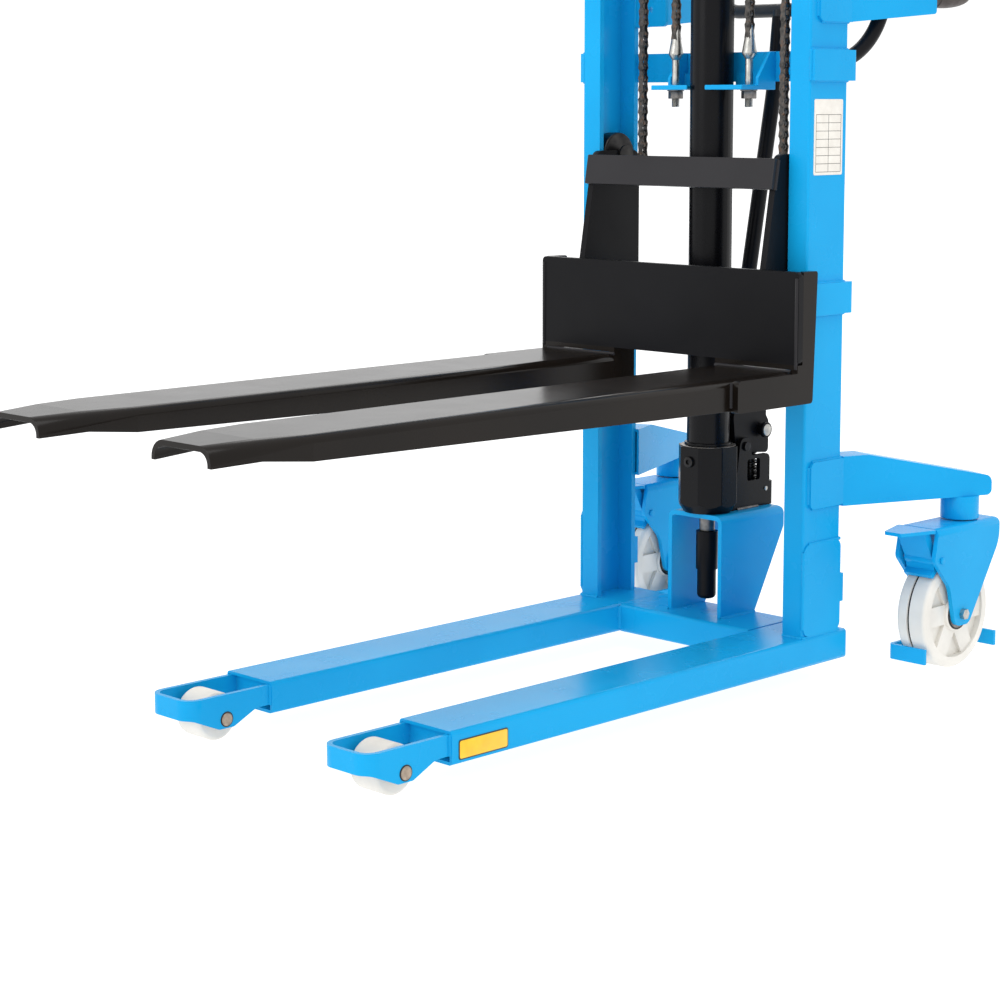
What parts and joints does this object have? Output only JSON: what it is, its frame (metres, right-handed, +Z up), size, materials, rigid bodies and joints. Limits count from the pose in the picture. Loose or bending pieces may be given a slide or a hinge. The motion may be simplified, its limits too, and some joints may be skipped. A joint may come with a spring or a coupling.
{
  "type": "hand pallet stacker",
  "caption": "Hand pallet stacker: channel mast on straddle legs, chain-lifted forks, hand-pumped hydraulic ram with tiller, braked swivel casters and nose rollers.",
  "frame": {"origin": "on the floor, under the middle of the machine's bounding box", "axes": "+Z up, forks point to -Y, the push handles and casters are at +Y, X across the machine with the left side at -X"},
  "size_m": [0.75, 1.645, 2.09],
  "materials": {
    "blue_paint": "semi-gloss sky blue paint",
    "black_paint": "satin black paint",
    "white_nylon": "moulded nylon",
    "zinc": "zinc plated",
    "hard_chrome": "ground and chromed",
    "dark_steel": "oiled dark steel",
    "chain_steel": "greased steel",
    "grip_rubber": "matt rubber",
    "handle_plastic": "textured black plastic"
  },
  "bodies": {
    "frame": {"leg_left": "blue_paint", "leg_right": "blue_paint", "base_crossmember": "blue_paint", "nose_straps": "blue_paint", "nose_pins": "zinc", "mast_channel_left": "blue_paint", "mast_channel_right": "blue_paint", "mast_ties": "blue_paint", "guard_tabs": "blue_paint", "chain_anchor_shelves": "blue_paint", "chain_anchor_bolts": "zinc", "pump_bracket": "blue_paint", "pump_body": "black_paint", "cylinder_tube": "black_paint", "cylinder_gland": "black_paint", "valve_stub": "black_paint", "caster_arms": "blue_paint", "swivel_housings": "blue_paint", "swivel_bearings": "zinc", "handle_arms": "blue_paint", "hand_grips": "grip_rubber", "handle_stay": "black_paint", "anchor_chains": "chain_steel", "rocker_pivot_pin": "zinc", "plunger_spring": "zinc"},
    "ram": {"piston_rod": "hard_chrome", "crosshead": "black_paint", "chain_wheel_pins": "zinc", "chain_wraps": "chain_steel", "carriage_chains": "chain_steel"},
    "chain_wheel_left": {"chain_wheel_left": "dark_steel"},
    "chain_wheel_right": {"chain_wheel_right": "dark_steel"},
    "carriage": {"carriage_plate": "black_paint", "fork_heels": "black_paint", "carriage_arms": "black_paint", "carriage_top_bar": "black_paint", "fork_left": "black_paint", "fork_right": "black_paint", "mast_roller_pins": "zinc"},
    "nose_roller_left": {"nose_roller_left": "white_nylon"},
    "nose_roller_right": {"nose_roller_right": "white_nylon"},
    "caster_left": {"caster_yoke_left": "blue_paint", "caster_hardware_left": "zinc"},
    "caster_right": {"caster_yoke_right": "blue_paint", "caster_hardware_right": "zinc"},
    "caster_wheel_left": {"caster_wheel_left": "white_nylon"},
    "caster_wheel_right": {"caster_wheel_right": "white_nylon"},
    "brake_left": {"brake_pedal_left": "blue_paint"},
    "brake_right": {"brake_pedal_right": "blue_paint"},
    "tiller": {"pump_rocker": "black_paint", "tiller_tube": "black_paint", "tiller_handle": "handle_plastic"},
    "rocker_roller": {"rocker_roller": "zinc"},
    "plunger": {"pump_plunger": "zinc"},
    "release": {"release_lever": "black_paint"},
    "mast_roller_upper_left": {"mast_roller_upper_left": "dark_steel"},
    "mast_roller_upper_right": {"mast_roller_upper_right": "dark_steel"},
    "mast_roller_lower_left": {"mast_roller_lower_left": "dark_steel"},
    "mast_roller_lower_right": {"mast_roller_lower_right": "dark_steel"}
  },
  "joints": [
    {"name": "ram_lift", "type": "slide", "parent": "frame", "child": "ram", "axis": [0, 0, 1], "range_m": [-0.2205, 0.5335], "deforming": ["anchor_chains"]},
    {"name": "carriage_lift", "type": "slide", "parent": "ram", "child": "carriage", "axis": [0, 0, 1], "range_m": [-0.2205, 0.5335], "deforming": ["carriage_chains"]},
    {"name": "chain_wheel_left_turn", "type": "hinge", "parent": "ram", "child": "chain_wheel_left", "pos_m": [-0.1185, 0.4565, 1.4665], "axis": [0, 1, 0], "continuous": true},
    {"name": "mast_roller_upper_left_turn", "type": "hinge", "parent": "carriage", "child": "mast_roller_upper_left", "pos_m": [-0.2216, 0.4535, 0.872], "axis": [1, 0, 0], "continuous": true},
    {"name": "mast_roller_lower_left_turn", "type": "hinge", "parent": "carriage", "child": "mast_roller_lower_left", "pos_m": [-0.2216, 0.4535, 0.592], "axis": [1, 0, 0], "continuous": true},
    {"name": "nose_roller_left_turn", "type": "hinge", "parent": "frame", "child": "nose_roller_left", "pos_m": [-0.2, -0.4865, 0.037], "axis": [1, 0, 0], "continuous": true},
    {"name": "caster_left_swivel", "type": "hinge", "parent": "frame", "child": "caster_left", "pos_m": [-0.326, 0.7435, 0.25], "axis": [0, 0, 1], "continuous": true},
    {"name": "caster_wheel_left_turn", "type": "hinge", "parent": "caster_left", "child": "caster_wheel_left", "pos_m": [-0.326, 0.6985, 0.095], "axis": [1, 0, 0], "continuous": true},
    {"name": "brake_left_press", "type": "hinge", "parent": "caster_left", "child": "brake_left", "pos_m": [-0.326, 0.6335, 0.196], "axis": [1, 0, 0], "range_deg": [0, 8.3]},
    {"name": "chain_wheel_right_turn", "type": "hinge", "parent": "ram", "child": "chain_wheel_right", "pos_m": [0.1185, 0.4565, 1.4665], "axis": [0, 1, 0], "continuous": true},
    {"name": "mast_roller_upper_right_turn", "type": "hinge", "parent": "carriage", "child": "mast_roller_upper_right", "pos_m": [0.2216, 0.4535, 0.872], "axis": [1, 0, 0], "continuous": true},
    {"name": "mast_roller_lower_right_turn", "type": "hinge", "parent": "carriage", "child": "mast_roller_lower_right", "pos_m": [0.2216, 0.4535, 0.592], "axis": [1, 0, 0], "continuous": true},
    {"name": "nose_roller_right_turn", "type": "hinge", "parent": "frame", "child": "nose_roller_right", "pos_m": [0.2, -0.4865, 0.037], "axis": [1, 0, 0], "continuous": true},
    {"name": "caster_right_swivel", "type": "hinge", "parent": "frame", "child": "caster_right", "pos_m": [0.326, 0.7435, 0.25], "axis": [0, 0, 1], "continuous": true},
    {"name": "caster_wheel_right_turn", "type": "hinge", "parent": "caster_right", "child": "caster_wheel_right", "pos_m": [0.326, 0.6985, 0.095], "axis": [1, 0, 0], "continuous": true},
    {"name": "brake_right_press", "type": "hinge", "parent": "caster_right", "child": "brake_right", "pos_m": [0.326, 0.6335, 0.196], "axis": [1, 0, 0], "range_deg": [0, 8.3]},
    {"name": "tiller_pump", "type": "hinge", "parent": "frame", "child": "tiller", "pos_m": [0, 0.5195, 0.368], "axis": [-1, 0, 0], "range_deg": [0, 28], "stiffness_Nm_per_rad": 20, "springref_deg": -20.05},
    {"name": "rocker_roller_turn", "type": "hinge", "parent": "tiller", "child": "rocker_roller", "pos_m": [0, 0.5734, 0.392], "axis": [1, 0, 0], "continuous": true},
    {"name": "plunger_stroke", "type": "slide", "parent": "frame", "child": "plunger", "axis": [0, 0, -1], "range_m": [0, 0.02831], "deforming": ["plunger_spring"]},
    {"name": "release_press", "type": "hinge", "parent": "frame", "child": "release", "pos_m": [-0.048, 0.5755, 0.281], "axis": [-1, 0, 0], "range_deg": [0, 20], "stiffness_Nm_per_rad": 1, "springref_deg": -17.19}
  ],
  "couplings": [
    {"joint": "carriage_lift", "follows": "ram_lift", "ratio": 1},
    {"joint": "chain_wheel_left_turn", "follows": "ram_lift", "rad_per_m": 26.667},
    {"joint": "mast_roller_upper_left_turn", "follows": "ram_lift", "rad_per_m": 51.282},
    {"joint": "mast_roller_lower_left_turn", "follows": "ram_lift", "rad_per_m": -51.282},
    {"joint": "chain_wheel_right_turn", "follows": "ram_lift", "rad_per_m": -26.667},
    {"joint": "mast_roller_upper_right_turn", "follows": "ram_lift", "rad_per_m": 51.282},
    {"joint": "mast_roller_lower_right_turn", "follows": "ram_lift", "rad_per_m": -51.282},
    {"joint": "plunger_stroke", "follows": "tiller_pump", "m_per_rad": 0.057527}
  ]
}
